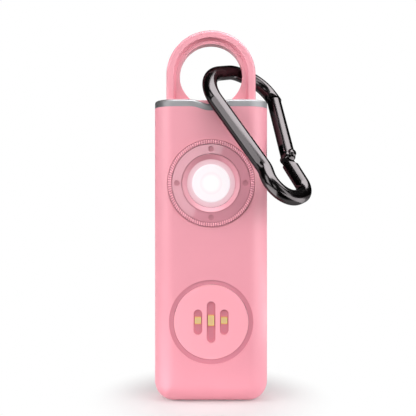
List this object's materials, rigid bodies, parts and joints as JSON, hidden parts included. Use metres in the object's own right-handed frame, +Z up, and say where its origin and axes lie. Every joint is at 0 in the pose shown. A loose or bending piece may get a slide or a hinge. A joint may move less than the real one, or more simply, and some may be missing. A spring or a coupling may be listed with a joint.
{
  "type": "personal safety alarm",
  "caption": "Slim pocket alarm with a pull loop on top, a round torch, a round signal button with lit windows, and a carabiner hung on the loop.",
  "frame": {"origin": "centre of the flat end face that the casing stands on", "axes": "+Z up along the casing towards the pull loop, +X to the right seen from the front, front face towards -Y"},
  "size_m": [0.0405, 0.0284, 0.0989],
  "materials": {
    "casing": "satin moulded plastic with a soft-touch coat",
    "loop": "satin moulded plastic",
    "button": "satin moulded plastic",
    "dark_pink": "matt moulded elastomer",
    "torch_trim": "glossy moulded plastic",
    "silver_trim": "satin silver plating",
    "lens": "clear lens, frosted at its edge",
    "mirror_coat": "metallised reflector",
    "gunmetal": "black chrome, polished",
    "steel": "plain steel",
    "brass": "plain brass",
    "board": "solder-masked glass-fibre board",
    "black_plastic": "moulded black plastic",
    "cell_can": "nickel-plated can",
    "yellow_light": "amber light chip",
    "white_light": "white light chip",
    "mesh": "fine acoustic mesh",
    "seal": "soft seal"
  },
  "bodies": {
    "root": {"front_shell": "casing", "rear_cover": "casing", "case_seal": "seal", "case_screws": "steel", "top_band": "silver_trim", "loop_socket": "black_plastic", "detent_springs": "steel", "torch_bezel": "torch_trim", "torch_seal": "seal", "torch_ring": "torch_trim", "torch_dish": "torch_trim", "torch_lens": "lens", "torch_reflector": "mirror_coat", "torch_board": "board", "torch_light": "white_light", "button_groove_ring": "dark_pink", "tact_switch": "black_plastic", "main_board": "board", "board_screws": "steel", "trip_switch": "black_plastic", "control_chip": "black_plastic", "boost_coil": "black_plastic", "capacitors": "cell_can", "battery_holder": "black_plastic", "coin_cells": "cell_can", "battery_contacts": "brass", "battery_strap": "steel", "siren_chamber": "black_plastic", "siren_disc": "brass", "sound_mesh": "mesh"},
    "pull_loop": {"pull_loop": "loop", "loop_blade": "steel"},
    "trip_plunger": {"trip_plunger": "black_plastic"},
    "signal_button": {"signal_button": "button", "button_window": "dark_pink", "signal_lights": "yellow_light", "signal_board": "board", "button_retainer": "black_plastic"},
    "tact_plunger": {"tact_plunger": "black_plastic"},
    "carabiner": {"carabiner_body": "gunmetal", "gate_rivet": "gunmetal"},
    "carabiner_gate": {"carabiner_gate": "gunmetal", "gate_plunger": "steel", "gate_spring": "steel"}
  },
  "joints": [
    {"name": "loop_pull", "type": "slide", "parent": "root", "child": "pull_loop", "axis": [0, 0, 1], "range_m": [0, 0.016]},
    {"name": "trip_rise", "type": "slide", "parent": "root", "child": "trip_plunger", "axis": [0, 0, 1], "range_m": [0, 0.0006]},
    {"name": "button_press", "type": "slide", "parent": "root", "child": "signal_button", "axis": [0, 1, 0], "range_m": [0, 0.0004], "stiffness_N_per_m": 1500, "springref_m": -0.0001},
    {"name": "tact_press", "type": "slide", "parent": "root", "child": "tact_plunger", "axis": [0, 1, 0], "range_m": [0, 0.0004]},
    {"name": "carabiner_swing", "type": "hinge", "parent": "pull_loop", "child": "carabiner", "pos_m": [0.00784, 0.00416, 0.08829], "axis": [-0.8311, -0.5141, 0.2121], "range_deg": [0, 100]},
    {"name": "gate_open", "type": "hinge", "parent": "carabiner", "child": "carabiner_gate", "pos_m": [0.02017, -0.00605, 0.06457], "axis": [0.5358, -0.6379, 0.5531], "range_deg": [0, 4], "stiffness_Nm_per_rad": 0.01, "springref_deg": -8.59}
  ],
  "couplings": [
    {"joint": "trip_rise", "follows": "loop_pull", "ratio": 0.0375},
    {"joint": "tact_press", "follows": "button_press", "ratio": 1}
  ]
}
